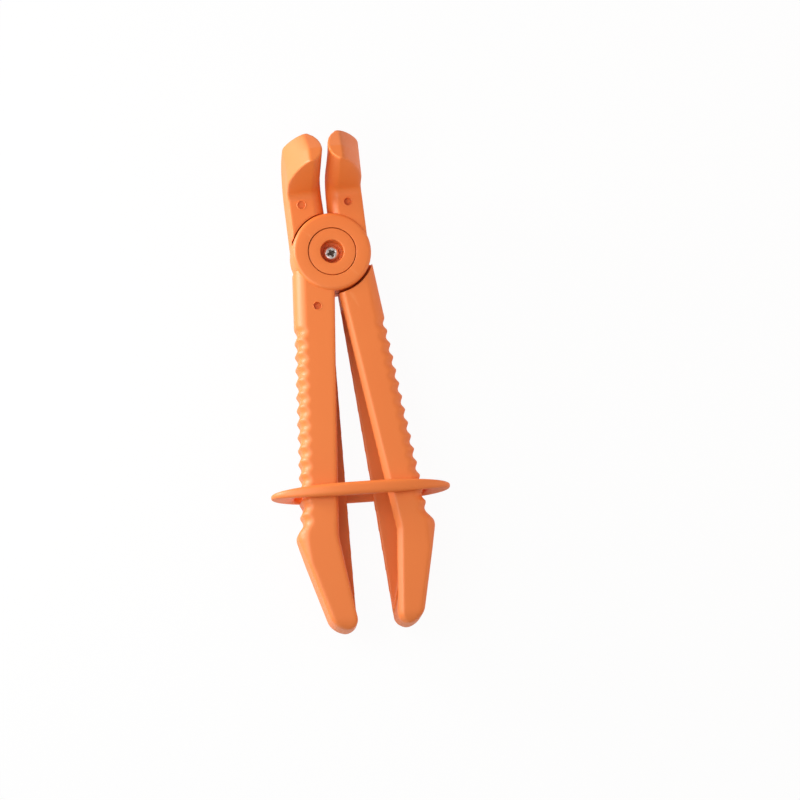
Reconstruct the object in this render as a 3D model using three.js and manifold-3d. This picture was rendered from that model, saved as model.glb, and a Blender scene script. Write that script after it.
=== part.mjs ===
// Locking hose pinch-off clamp: two moulded arms on a screwed hub, held shut by an oblong ring on the handles.
// Millimetres. The clamp lies on its back: +Z is the pivot axis towards the screw, +Y runs to the jaws,
// and the origin is on the pivot axis in the hub's rear face.
import * as THREE from "three";
import { mergeVertices } from "three/addons/utils/BufferGeometryUtils.js";
import Module from "manifold-3d";

// ---------------------------------------------------------------- driving dimensions

// Pivot discs: each arm carries one half of the stack.
const STACK_HEIGHT = 16;
const DISC_RADIUS = 13.8;
const DISC_PROUD = 0.8; // how far a disc stands above the faces of handles and jaws
const DISC_EDGE_ROUND = 1.3;
const PIECE_GAP = 0.3; // running clearance between neighbouring pieces
const JAW_RELIEF_GAP = 0.45; // between a disc and the other arm's jaw
const GRIP_RELIEF_GAP = 0.9; // and its handle

// Hub: two stepped plugs, a screw and a nut.
const CAP_RADIUS = 8.25;
const CAP_THICKNESS = 3;
const CAP_INSET = 0.15; // front plug below the disc's face
const SHANK_RADIUS = 5.2;
const COUNTERBORE_RADIUS = 4.15;
const COUNTERBORE_DEPTH = 5.4;
const SCREW_RADIUS = 1.5;
const SCREW_LENGTH = 8;
const SCREW_HEAD_RADIUS = 2.7;
const SCREW_HEAD_HEIGHT = 2.1;
const RECESS_SPAN = 3.6; // cross recess, tip to tip
const RECESS_WIDTH = 0.95;
const RECESS_DEPTH = 1.1;
const NUT_ACROSS_FLATS = 5.5;
const NUT_HEIGHT = 2.4;

// Torsion spring round the hub, between the two discs.
const SPRING_WIRE = 1;
const SPRING_PITCH = 1.5;
const SPRING_TURNS = 2;
const SPRING_BORE_GAP = 0.5; // from the hub's shank to the coil
const SPRING_LEG = 3.4; // leg's length past the middle of the coil's wire

// Handles, measured along and across a line that leans out by GRIP_ANGLE.
const GRIP_ANGLE = 5.34;
const GRIP_OUTSIDE = 13.44; // from the leaning line to the notches' crests
const GRIP_ROUND = 3.6; // round of the two outer edges
const NOTCHED_ROUND = 5.2; // the same along the notches
const INNER_EDGE_CUT = 1.7; // bevel of the flanges' free edges
const GRIP_START = 6; // inside the disc
const NOTCH_START = 26.2; // where the smooth side ends
const NOTCH_PITCH = 4.77;
const NOTCH_COUNT = 15;
const NOTCH_DEPTH = 1;
const SHOULDER_RISE = 1.45; // shoulder above the crests
const SHOULDER_LENGTH = 5.2;
const SHOULDER_ROUND = 1.6;
const TIP_LENGTH = 33.5; // from the shoulder's top to the handle's end
const TIP_OUTER_ANGLE = 19.8; // how far the tip's outer side turns in from the grip's line
const TIP_END_ROUND = 4.4;
const FRONT_INSIDE = -0.96; // front flange's inner edge where the pivot would be
const FRONT_INSIDE_ANGLE = 1.29;
const FRONT_TIP_ANGLE = 12;
const REAR_INSIDE = 0.7; // rear flange's inner edge, one straight line to the tip
const REAR_INSIDE_ANGLE = 2.79;
const FLANGE = 2.6;
const WEB = 4.4;
const CHANNEL_START = 20;
const CHANNEL_RUNIN = 8; // its floor starts to rise this far before the shoulder
const CHANNEL_RUNOUT = 20; // and meets the open side this far past it

// Jaws: straight, then bent forward, with a wedge along the inner side.
const JAW_OUTSIDE = 13.1;
const JAW_ROUND = 1.2;
const JAW_BEND_START = 19;
const JAW_BEND_RADIUS = 3.1;
const JAW_BEND_ANGLE = 75;
const JAW_TIP_LENGTH = 22; // straight part after the bend, along the ridge
const JAW_TIP_CURVE = 16; // how far down the curve of the outer corner reaches
const JAW_TIP_FULLNESS = 1.75; // of that curve: an ellipse at 2, a straight line at 1
const JAW_TIP_END = 1; // width left beside the wedge at the end of that curve
const JAW_FRONT_RISE = 1.6; // the tip's front edge past the ridge
const JAW_BACK_DROP = 5.4; // the tip's back edge short of the ridge
const WEDGE_WIDTH = 3.6;
const RIDGE_DEPTH = 5.8; // from the jaw's front face to the ridge
const WEDGE_FLAT = 0.5;
const JAW_REST_ANGLE = 1.6; // each jaw stands open by this much
const JAW_CLOSED_GAP = 0.3; // left between the ridges when the jaws are shut

// Round dimples in the front faces.
const DIMPLE_RADIUS = 1.35;
const DIMPLE_DEPTH = 0.7;
const JAW_DIMPLE = [8, 17.2]; // across and along, from the pivot
const GRIP_DIMPLE = [7, 18.6];

// Locking ring.
const RING_DISTANCE = 84.8; // from the pivot along the clamp
const RING_TILT = 2.5;
const RING_HALF_LENGTH = 23.1; // of the hole
const RING_FACE_GAP = 0.8; // from the handles' faces to the hole
const RING_END_RIM = 8.5;
const RING_SIDE_RIM = 3.3;
const RING_THICKNESS = 4.8;
const RING_END_THICKNESS = 2.6;

// ---------------------------------------------------------------- worked out from the driving dimensions

const MID = STACK_HEIGHT / 2;
const FACE_BACK = DISC_PROUD;
const FACE_FRONT = STACK_HEIGHT - DISC_PROUD;
const ARM_DEPTH = FACE_FRONT - FACE_BACK;
const SHOULDER = NOTCH_START + (NOTCH_COUNT - 0.5) * NOTCH_PITCH + SHOULDER_LENGTH;
const GRIP_END = SHOULDER + TIP_LENGTH;
const SCREW_HOLE_RADIUS = SCREW_RADIUS + PIECE_GAP;
const SCREW_SEAT = STACK_HEIGHT - CAP_INSET - COUNTERBORE_DEPTH;
const SPRING_RADIUS = SHANK_RADIUS + SPRING_BORE_GAP + SPRING_WIRE / 2;
const SPRING_HEIGHT = SPRING_PITCH * SPRING_TURNS;
const SPRING_ROOM = (SPRING_HEIGHT + SPRING_WIRE) / 2 + PIECE_GAP;
const SPRING_SWING = 9; // degrees an arm may turn past a leg
const ROUND_STEPS = 48;

const rad = THREE.MathUtils.degToRad;
const slope = (degrees) => Math.tan(rad(degrees));

const wasm = await Module();
wasm.setup();

// ---------------------------------------------------------------- solids

function solidOf(geometry) {
  const bare = geometry.clone();
  bare.deleteAttribute("normal");
  bare.deleteAttribute("uv");
  const merged = mergeVertices(bare, 1e-4);
  return new wasm.Manifold(
    new wasm.Mesh({
      numProp: 3,
      vertProperties: new Float32Array(merged.attributes.position.array),
      triVerts: new Uint32Array(merged.index.array),
    }),
  );
}

function geometryOf(solid) {
  const mesh = solid.getMesh();
  const geometry = new THREE.BufferGeometry();
  geometry.setAttribute("position", new THREE.BufferAttribute(mesh.vertProperties, 3));
  geometry.setIndex(new THREE.BufferAttribute(mesh.triVerts, 1));
  return geometry;
}

// A solid of revolution about Z, from [radius, height] corners that run up the outside.
function turned(corners, steps = ROUND_STEPS) {
  const outline = corners.map(([radius, height]) => new THREE.Vector2(radius, height));
  return new THREE.LatheGeometry(outline, steps).rotateX(Math.PI / 2);
}

function rod(radius, from, to, steps = ROUND_STEPS) {
  return turned([[0, from], [radius, from], [radius, to], [0, to]], steps);
}

function hexagon(acrossFlats, from, to) {
  return rod(acrossFlats / Math.sqrt(3), from, to, 6);
}

// Points of an arc, angles in degrees, both ends included.
function arc([x, y], radius, from, to, steps) {
  return Array.from({ length: steps + 1 }, (_, i) => {
    const angle = rad(from + ((to - from) * i) / steps);
    return [x + radius * Math.cos(angle), y + radius * Math.sin(angle)];
  });
}

function averageOf(ring) {
  return ring.reduce((sum, p) => sum.add(p), new THREE.Vector3()).divideScalar(ring.length);
}

// A closed skin over rings of points, each ring counterclockwise about the way the rings run.
function loft(rings, closed = false, middleOf = averageOf) {
  const size = rings[0].length;
  const points = rings.flat();
  const faces = [];
  const last = closed ? rings.length : rings.length - 1;
  for (let i = 0; i < last; i++) {
    for (let j = 0; j < size; j++) {
      const a = i * size + j;
      const b = i * size + ((j + 1) % size);
      const c = ((i + 1) % rings.length) * size + j;
      const d = ((i + 1) % rings.length) * size + ((j + 1) % size);
      faces.push(a, b, d, a, d, c);
    }
  }
  if (!closed) {
    const ends = [[0, 1], [(rings.length - 1) * size, 0]];
    for (const [first, turn] of ends) {
      points.push(middleOf(points.slice(first, first + size)));
      for (let j = 0; j < size; j++) {
        const pair = [first + j, first + ((j + 1) % size)];
        faces.push(points.length - 1, pair[turn], pair[1 - turn]);
      }
    }
  }
  const geometry = new THREE.BufferGeometry().setFromPoints(points);
  geometry.setIndex(faces);
  return geometry;
}

function mirrored(geometry) {
  const copy = geometry.clone().scale(-1, 1, 1);
  const index = Array.from(copy.index.array);
  for (let i = 0; i < index.length; i += 3) {
    [index[i + 1], index[i + 2]] = [index[i + 2], index[i + 1]];
  }
  copy.setIndex(index);
  return copy;
}

// ---------------------------------------------------------------- handle, on the +X side

// From the handle's own line (along, out, height) to the clamp.
function gripPoint(along, out, height) {
  const lean = rad(GRIP_ANGLE);
  const x = along * Math.sin(lean) + out * Math.cos(lean);
  const y = out * Math.sin(lean) - along * Math.cos(lean);
  return new THREE.Vector3(x, y, height);
}

function notchDip(along) {
  const phase = (along - NOTCH_START) / NOTCH_PITCH;
  if (phase < 0 || phase > NOTCH_COUNT) return 0;
  return NOTCH_DEPTH * Math.sin(Math.PI * phase) ** 2;
}

function gripOuter(along) {
  const top = GRIP_OUTSIDE + SHOULDER_RISE;
  const lastDip = NOTCH_START + (NOTCH_COUNT - 0.5) * NOTCH_PITCH;
  if (along <= lastDip) return GRIP_OUTSIDE - notchDip(along);
  if (along <= SHOULDER) {
    const share = (along - lastDip) / SHOULDER_LENGTH;
    const rise = Math.sin((Math.PI / 2) * share) ** 2;
    return GRIP_OUTSIDE - NOTCH_DEPTH + (NOTCH_DEPTH + SHOULDER_RISE) * rise;
  }
  const past = along - SHOULDER;
  const bend = Math.min(past, SHOULDER_ROUND);
  const eased = (bend * bend) / (2 * SHOULDER_ROUND) + (past - bend);
  return top - eased * slope(TIP_OUTER_ANGLE);
}

function frontInner(along) {
  const straight = Math.min(along, SHOULDER);
  const tip = Math.max(along - SHOULDER, 0);
  return FRONT_INSIDE + straight * slope(FRONT_INSIDE_ANGLE) - tip * slope(FRONT_TIP_ANGLE);
}

function rearInner(along) {
  return REAR_INSIDE - along * slope(REAR_INSIDE_ANGLE);
}

function edgeRound(along) {
  const notched = along >= NOTCH_START && along < SHOULDER;
  return notched ? NOTCHED_ROUND : GRIP_ROUND;
}

function gripSection(along) {
  let outer = gripOuter(along);
  let front = frontInner(along);
  let rear = rearInner(along);
  let back = FACE_BACK;
  let face = FACE_FRONT;
  const intoEnd = along - (GRIP_END - TIP_END_ROUND);
  if (intoEnd > 0) {
    const share = Math.sqrt(Math.max(1 - (intoEnd / TIP_END_ROUND) ** 2, 0));
    const middle = (outer + (front + rear) / 2) / 2;
    const keep = (value) => middle + (value - middle) * share;
    [outer, front, rear] = [keep(outer), keep(front), keep(rear)];
    const trim = (1 - share) * INNER_EDGE_CUT;
    back += trim;
    face -= trim;
  }
  const width = outer - Math.max(front, rear);
  const big = Math.min(edgeRound(along), width * 0.6);
  const cut = Math.min(INNER_EDGE_CUT, width * 0.3);
  return [
    [rear, back + cut],
    [rear + cut, back],
    ...arc([outer - big, back + big], big, 270, 360, 4),
    ...arc([outer - big, face - big], big, 0, 90, 4),
    [front + cut, face],
    [front, face - cut],
  ].map(([out, height]) => gripPoint(along, out, height));
}

function gripStations() {
  const stations = [GRIP_START, NOTCH_START - NOTCH_PITCH / 4];
  const stepsPerNotch = 4;
  for (let i = 0; i <= (NOTCH_COUNT - 0.5) * stepsPerNotch; i++) {
    stations.push(NOTCH_START + (i * NOTCH_PITCH) / stepsPerNotch);
  }
  for (const share of [0.3, 0.55, 0.8, 1]) {
    stations.push(SHOULDER - SHOULDER_LENGTH * (1 - share));
  }
  stations.push(SHOULDER + SHOULDER_ROUND / 2, SHOULDER + SHOULDER_ROUND);
  for (const [, reach] of arc([0, 0], 1, 0, 76, 4)) {
    stations.push(GRIP_END - TIP_END_ROUND * (1 - reach));
  }
  return stations;
}

// Space between the flanges: open towards the other handle, with a pointed end in the tip.
function channel() {
  const bottom = GRIP_OUTSIDE - WEB;
  const point = SHOULDER + CHANNEL_RUNOUT;
  const clear = rearInner(point) - WEB;
  const corners = [
    [CHANNEL_START, clear],
    [CHANNEL_START, bottom],
    [SHOULDER - CHANNEL_RUNIN, bottom],
    [point, rearInner(point)],
    [point, clear],
  ];
  const section = ([along, out]) => [FACE_BACK + FLANGE, FACE_FRONT - FLANGE].map((z) => gripPoint(along, out, z));
  const [low, high] = [0, 1].map((level) => corners.map((corner) => section(corner)[level]));
  return loft([low.reverse(), high.reverse()]);
}

// ---------------------------------------------------------------- jaw, on the +X side

// Ridge of the wedge: the two ridges meet, but for the gap, when each arm turns in by its rest angle.
function ridgeAt(distance) {
  return JAW_CLOSED_GAP / 2 + distance * slope(JAW_REST_ANGLE);
}

// Where a station lies on the bent line: its foot on the front face, and how far it has turned.
function jawStations() {
  const stations = [0, 0.5, 1].map((share) => ({ y: JAW_BEND_START * share, turn: 0, tip: 0 }));
  const bendSteps = 5;
  for (let i = 1; i <= bendSteps; i++) {
    stations.push({ y: JAW_BEND_START, turn: (JAW_BEND_ANGLE * i) / bendSteps, tip: 0 });
  }
  for (const [, reach] of arc([0, 0], 1, 0, 90, 8)) {
    const tip = JAW_TIP_LENGTH - JAW_TIP_CURVE * (1 - reach);
    stations.push({ y: JAW_BEND_START, turn: JAW_BEND_ANGLE, tip });
  }
  return stations;
}

// A point of the jaw, from its place across and below the front face.
function jawPoint({ y, turn, tip }, across, below) {
  const angle = rad(turn);
  const reach = JAW_BEND_RADIUS + below;
  const along = y + reach * Math.sin(angle) + tip * Math.cos(angle);
  const height = FACE_FRONT + JAW_BEND_RADIUS - reach * Math.cos(angle) + tip * Math.sin(angle);
  return new THREE.Vector3(across, along, height);
}

function jawSection(station) {
  const ridge = ridgeAt(jawPoint(station, 0, RIDGE_DEPTH).y);
  const share = Math.max(1 - (JAW_TIP_LENGTH - station.tip) / JAW_TIP_CURVE, 0);
  const narrowing = JAW_OUTSIDE - ridge - WEDGE_WIDTH - JAW_TIP_END;
  const kept = (1 - share ** JAW_TIP_FULLNESS) ** (1 / JAW_TIP_FULLNESS);
  const outer = JAW_OUTSIDE - narrowing * (1 - kept);
  const round = Math.min(JAW_ROUND, (outer - ridge - WEDGE_WIDTH) * 0.9);
  const points = [
    ...arc([outer - round, round], round, -90, 0, 2),
    [outer, RIDGE_DEPTH],
    ...arc([outer - round, ARM_DEPTH - round], round, 0, 90, 2),
    [ridge + WEDGE_WIDTH, ARM_DEPTH],
    [ridge, RIDGE_DEPTH + WEDGE_FLAT / 2],
    [ridge, RIDGE_DEPTH - WEDGE_FLAT / 2],
    [ridge + WEDGE_WIDTH, 0],
  ];
  return points.map(([across, below]) => {
    const front = 1 - below / RIDGE_DEPTH;
    const back = (below - RIDGE_DEPTH) / (ARM_DEPTH - RIDGE_DEPTH);
    const shift = front > 0 ? front * JAW_FRONT_RISE : -back * JAW_BACK_DROP;
    return jawPoint({ ...station, tip: station.tip + shift * share }, across, below);
  });
}

// The end face has its crease at the ridge's depth, from the outer side to the ridge.
function jawEnd(section) {
  const [outerMiddle, ridge] = [section[3], section[8]];
  return outerMiddle.clone().lerp(ridge, 0.5);
}

// ---------------------------------------------------------------- arms

const outlines = {
  grip: loft(gripStations().map(gripSection)),
  channel: channel(),
  jaw: loft(jawStations().map(jawSection), false, jawEnd),
};

function halfDisc() {
  const top = arc([DISC_RADIUS - DISC_EDGE_ROUND, STACK_HEIGHT - DISC_EDGE_ROUND], DISC_EDGE_ROUND, 0, 90, 3);
  return turned([[0, MID + PIECE_GAP / 2], [DISC_RADIUS, MID + PIECE_GAP / 2], ...top, [0, STACK_HEIGHT]]);
}

function springSlot(direction) {
  const reach = SPRING_RADIUS + SPRING_LEG + PIECE_GAP;
  const swing = 2 * reach * Math.sin(rad(SPRING_SWING));
  const slot = new THREE.BoxGeometry(reach, SPRING_WIRE + swing + 2 * PIECE_GAP, 2 * SPRING_ROOM);
  return slot.translate(reach / 2, 0, MID).rotateZ(rad(direction));
}

// Room for the other arm's disc, from one height to another: close round the jaw, wider round the handle.
function discRoom(from, to) {
  const wide = DISC_RADIUS + GRIP_RELIEF_GAP;
  const handleSide = new THREE.BoxGeometry(2 * wide, wide, to - from).translate(0, -wide / 2, (from + to) / 2);
  const handleRoom = solidOf(rod(wide, from, to)).intersect(solidOf(handleSide));
  return solidOf(rod(DISC_RADIUS + JAW_RELIEF_GAP, from, to)).add(handleRoom);
}

function dimple([across, along], side) {
  return rod(DIMPLE_RADIUS, FACE_FRONT - DIMPLE_DEPTH, STACK_HEIGHT, 16).translate(side * across, along, 0);
}

// One arm: handle, half disc and jaw in one moulding. Its disc is the front one where front is true.
function arm(front) {
  const gripSide = front ? -1 : 1;
  const [grip, hollow] = [outlines.grip, outlines.channel].map((g) => (front ? mirrored(g) : g));
  const jaw = front ? outlines.jaw : mirrored(outlines.jaw);
  const otherDisc = front ? discRoom(-STACK_HEIGHT, MID + PIECE_GAP) : discRoom(MID - PIECE_GAP, 2 * STACK_HEIGHT);
  const disc = halfDisc();
  const capRoom = rod(CAP_RADIUS + PIECE_GAP, STACK_HEIGHT - CAP_INSET - CAP_THICKNESS - PIECE_GAP, 2 * STACK_HEIGHT);
  if (!front) {
    for (const geometry of [disc, capRoom]) geometry.rotateX(Math.PI).translate(0, 0, STACK_HEIGHT);
  }
  const cuts = [
    capRoom,
    rod(SHANK_RADIUS + PIECE_GAP, -STACK_HEIGHT, 2 * STACK_HEIGHT),
    rod(SPRING_RADIUS + SPRING_WIRE / 2 + PIECE_GAP, MID - SPRING_ROOM, MID + SPRING_ROOM),
    springSlot(front ? 180 : 0),
    dimple(JAW_DIMPLE, -gripSide),
  ];
  if (front) cuts.push(dimple([GRIP_DIMPLE[0], -GRIP_DIMPLE[1]], gripSide));
  let solid = solidOf(grip).subtract(solidOf(hollow)).add(solidOf(jaw));
  solid = solid.subtract(otherDisc).add(solidOf(disc));
  for (const cut of cuts) solid = solid.subtract(solidOf(cut));
  return geometryOf(solid);
}

// ---------------------------------------------------------------- hub

function frontPlug() {
  const top = STACK_HEIGHT - CAP_INSET;
  const body = turned([
    [0, MID],
    [SHANK_RADIUS, MID],
    [SHANK_RADIUS, top - CAP_THICKNESS],
    [CAP_RADIUS, top - CAP_THICKNESS],
    [CAP_RADIUS, top],
    [0, top],
  ]);
  const solid = solidOf(body)
    .subtract(solidOf(rod(COUNTERBORE_RADIUS, SCREW_SEAT, 2 * STACK_HEIGHT, 32)))
    .subtract(solidOf(rod(SCREW_HOLE_RADIUS, 0, STACK_HEIGHT, 24)));
  return geometryOf(solid);
}

function rearPlug() {
  const body = turned([
    [0, 0],
    [CAP_RADIUS, 0],
    [CAP_RADIUS, CAP_THICKNESS],
    [SHANK_RADIUS, CAP_THICKNESS],
    [SHANK_RADIUS, MID],
    [0, MID],
  ]);
  const well = rod(SCREW_HOLE_RADIUS, SCREW_SEAT - SCREW_LENGTH - PIECE_GAP, STACK_HEIGHT, 24);
  const nutRoom = hexagon(NUT_ACROSS_FLATS + PIECE_GAP, MID - NUT_HEIGHT - PIECE_GAP, STACK_HEIGHT);
  return geometryOf(solidOf(body).subtract(solidOf(well)).subtract(solidOf(nutRoom)));
}

function screw() {
  const headTop = SCREW_SEAT + SCREW_HEAD_HEIGHT;
  const crown = arc([SCREW_HEAD_RADIUS - 0.9, headTop - 0.9], 0.9, 0, 90, 3);
  const body = turned(
    [
      [0, SCREW_SEAT - SCREW_LENGTH],
      [SCREW_RADIUS, SCREW_SEAT - SCREW_LENGTH],
      [SCREW_RADIUS, SCREW_SEAT],
      [SCREW_HEAD_RADIUS, SCREW_SEAT],
      ...crown,
      [0, headTop],
    ],
    24,
  );
  let solid = solidOf(body);
  for (const quarter of [0, Math.PI / 2]) {
    const wing = new THREE.BoxGeometry(RECESS_SPAN, RECESS_WIDTH, 2 * RECESS_DEPTH);
    wing.translate(0, 0, headTop).rotateZ(quarter + rad(20));
    solid = solid.subtract(solidOf(wing));
  }
  return geometryOf(solid);
}

function nut() {
  const solid = solidOf(hexagon(NUT_ACROSS_FLATS, MID - NUT_HEIGHT, MID));
  return geometryOf(solid.subtract(solidOf(rod(SCREW_HOLE_RADIUS, 0, STACK_HEIGHT, 24))));
}

// Coil with one leg to each arm: the lower leg points to +X, the upper one to -X.
function spring() {
  const stepsPerTurn = 16;
  const turns = SPRING_TURNS + 0.5;
  const steps = stepsPerTurn * turns;
  const height = (share) => MID + (share - 0.5) * SPRING_HEIGHT;
  const line = [new THREE.Vector3(SPRING_RADIUS + SPRING_LEG, 0, height(0))];
  for (let i = 0; i <= steps; i++) {
    const angle = (2 * Math.PI * turns * i) / steps;
    const [x, y] = [SPRING_RADIUS * Math.cos(angle), SPRING_RADIUS * Math.sin(angle)];
    line.push(new THREE.Vector3(x, y, height(i / steps)));
  }
  line.push(new THREE.Vector3(-SPRING_RADIUS - SPRING_LEG, 0, height(1)));
  const up = new THREE.Vector3(0, 0, 1);
  const rings = line.map((point, i) => {
    const before = line[Math.max(i - 1, 0)];
    const after = line[Math.min(i + 1, line.length - 1)];
    const ahead = after.clone().sub(before).normalize();
    const side = ahead.clone().cross(up).normalize();
    const top = side.clone().cross(ahead);
    return arc([0, 0], SPRING_WIRE / 2, 0, 300, 5).map(([a, b]) =>
      point.clone().addScaledVector(side, -a).addScaledVector(top, b),
    );
  });
  return loft(rings);
}

// ---------------------------------------------------------------- ring

// A point of an oblong outline: square-cornered as the power grows, an ellipse at 2.
function oblong(turn, halfLength, halfHeight, power) {
  const [c, s] = [Math.cos(turn), Math.sin(turn)];
  const x = halfLength * Math.sign(c) * Math.abs(c) ** (2 / power);
  const z = halfHeight * Math.sign(s) * Math.abs(s) ** (2 / power);
  return [x, z];
}

function ring() {
  const holeHalfHeight = ARM_DEPTH / 2 + RING_FACE_GAP;
  const halfLength = RING_HALF_LENGTH + RING_END_RIM;
  // Share of the way from hole to outer edge, and of half the thickness there.
  const lens = [[0, 0.75], [0.2, 1], [0.75, 0.95], [1, 0.5]];
  const section = [...lens.map(([way, half]) => [way, -half]), ...lens.toReversed()];
  const steps = 56;
  const rings = Array.from({ length: steps }, (_, i) => {
    const turn = (2 * Math.PI * (i + 0.5)) / steps;
    const [ix, iz] = oblong(turn, RING_HALF_LENGTH, holeHalfHeight, 5);
    const [ox, oz] = oblong(turn, halfLength, holeHalfHeight + RING_SIDE_RIM, 2.5);
    const thin = (RING_THICKNESS - RING_END_THICKNESS) * (ox / halfLength) ** 2;
    return section.map(([way, half]) => {
      const y = (half * (RING_THICKNESS - thin)) / 2;
      return new THREE.Vector3(ix + (ox - ix) * way, y, iz + (oz - iz) * way);
    });
  });
  return loft(rings, true);
}

// ---------------------------------------------------------------- materials and the object

const plastic = { color: 0xe8662a, roughness: 0.55, metalness: 0 };
const steel = { color: 0xc4c6c8, roughness: 0.25, metalness: 1 };
const springSteel = { color: 0x6f7276, roughness: 0.4, metalness: 1 };

function piece(name, geometry, look) {
  const mesh = new THREE.Mesh(geometry, new THREE.MeshStandardMaterial({ ...look, flatShading: true }));
  mesh.name = name;
  return mesh;
}

const hub = new THREE.Group();
hub.add(
  piece("pivot_plug_front", frontPlug(), plastic),
  piece("pivot_plug_rear", rearPlug(), plastic),
  piece("pivot_screw", screw(), steel),
  piece("hex_nut", nut(), steel),
  piece("opening_spring", spring(), springSteel),
);

const lockingRing = piece("locking_ring", ring(), plastic);
lockingRing.position.set(0, -RING_DISTANCE, MID);
lockingRing.rotation.z = -rad(RING_TILT);

const clamp = new THREE.Group();
clamp.add(hub, piece("front_arm", arm(true), plastic), piece("rear_arm", arm(false), plastic), lockingRing);

export default clamp;
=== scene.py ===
"""Looks of a moulded plastic hose pinch-off clamp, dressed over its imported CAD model.

The clamp lies on its back: +Z is the pivot axis towards the screw and +Y runs to the jaws. Pieces are
made in millimetres and scaled to metres when they are finished.
"""

import math

import bmesh
import bpy
import numpy as np
from mathutils import Matrix, Vector


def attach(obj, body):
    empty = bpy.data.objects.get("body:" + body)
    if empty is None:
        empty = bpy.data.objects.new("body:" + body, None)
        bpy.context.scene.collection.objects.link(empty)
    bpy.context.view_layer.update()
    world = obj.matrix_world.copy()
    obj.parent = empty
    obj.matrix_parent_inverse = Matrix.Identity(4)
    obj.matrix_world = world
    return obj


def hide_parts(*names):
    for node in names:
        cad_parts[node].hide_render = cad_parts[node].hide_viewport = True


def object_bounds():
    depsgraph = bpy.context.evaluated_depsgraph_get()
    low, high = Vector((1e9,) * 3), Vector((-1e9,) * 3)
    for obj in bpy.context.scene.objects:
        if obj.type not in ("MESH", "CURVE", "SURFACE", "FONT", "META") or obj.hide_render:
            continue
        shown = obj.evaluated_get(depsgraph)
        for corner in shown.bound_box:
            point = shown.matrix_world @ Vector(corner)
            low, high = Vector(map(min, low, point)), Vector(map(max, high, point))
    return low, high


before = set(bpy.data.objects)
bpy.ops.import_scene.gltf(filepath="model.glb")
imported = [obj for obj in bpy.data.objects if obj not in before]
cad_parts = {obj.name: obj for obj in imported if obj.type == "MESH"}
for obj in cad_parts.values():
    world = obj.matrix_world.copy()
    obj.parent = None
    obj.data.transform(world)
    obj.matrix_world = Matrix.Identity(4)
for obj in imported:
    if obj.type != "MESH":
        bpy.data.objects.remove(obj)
cad_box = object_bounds()

# ---------------------------------------------------------------- sizes, in millimetres
# The main sizes are those of the CAD model. Small forms, such as its edge rounds, are finer here.

STACK_HEIGHT = 16.0
MID = STACK_HEIGHT / 2
DISC_RADIUS = 13.8
DISC_PROUD = 0.8
DISC_EDGE_ROUND = 1.3
DISC_LAP_ROUND = 0.25
FACE_BACK = DISC_PROUD
FACE_FRONT = STACK_HEIGHT - DISC_PROUD
ARM_DEPTH = FACE_FRONT - FACE_BACK
PIECE_GAP = 0.3
JAW_RELIEF = 0.4
GRIP_RELIEF = 0.9

CAP_RADIUS = 8.25
CAP_THICKNESS = 3.0
CAP_INSET = 0.15
CAP_EDGE_ROUND = 0.14
CAP_SEAT_ROUND = 0.12
SHANK_RADIUS = 5.2
COUNTERBORE_RADIUS = 4.15
COUNTERBORE_DEPTH = 5.4
COUNTERBORE_EDGE_ROUND = 0.28
COUNTERBORE_FLOOR_ROUND = 0.3
SCREW_SEAT = STACK_HEIGHT - CAP_INSET - COUNTERBORE_DEPTH
SCREW_RADIUS = 1.5
SCREW_LENGTH = 8.0
SCREW_HOLE_RADIUS = SCREW_RADIUS + PIECE_GAP
SCREW_HEAD_RADIUS = 2.7
SCREW_HEAD_HEIGHT = 2.1
SCREW_HEAD_FLAT = SCREW_HEAD_RADIUS * 0.62
SCREW_HEAD_DROP = 0.15
SCREW_HEAD_FOOT_ROUND = 0.12
SCREW_HEAD_SIDE_ROUND = 1.1
SCREW_HEAD_TOP_ROUND = 0.8
SCREW_NECK = 0.4
THREAD_PITCH = 0.5
THREAD_DEPTH = 0.3
SCREW_CORE_RADIUS = SCREW_RADIUS - THREAD_DEPTH
THREAD_STEEPNESS = 1.25
THREAD_CREST = 1.2
THREAD_LEAD = 0.6
THREAD_LEAD_SHARE = 0.5
THREAD_POINT_SHARE = 0.75
THREAD_OVERLAP = 0.2
RECESS_SPAN = 3.6
RECESS_WIDTH = 0.95
RECESS_DEPTH = 1.1
RECESS_TURN = math.radians(20)
RECESS_CONE_DEPTH = 1.5
RECESS_CONE_TIP = 0.25
RECESS_CONE_MOUTH = 0.95
RECESS_CONE_RISE = 0.01
RECESS_CLEAR = 1.0
NUT_ACROSS_FLATS = 5.5
NUT_HEIGHT = 2.4
NUT_CORNER_RADIUS = NUT_ACROSS_FLATS / math.sqrt(3)
NUT_CHAMFER = 0.3
NUT_CHAMFER_REACH = 1.6
NUT_CORNER_CLEAR = 0.05

SPRING_WIRE = 1.0
SPRING_CLEAR = 0.5
SPRING_RADIUS = SHANK_RADIUS + SPRING_CLEAR + SPRING_WIRE / 2
SPRING_HEIGHT = 3.0
SPRING_TURNS = 2.5
SPRING_LEG = 3.4
SPRING_ROOM = (SPRING_HEIGHT + SPRING_WIRE) / 2 + PIECE_GAP
SPRING_LEG_SWING = math.radians(9)

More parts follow.
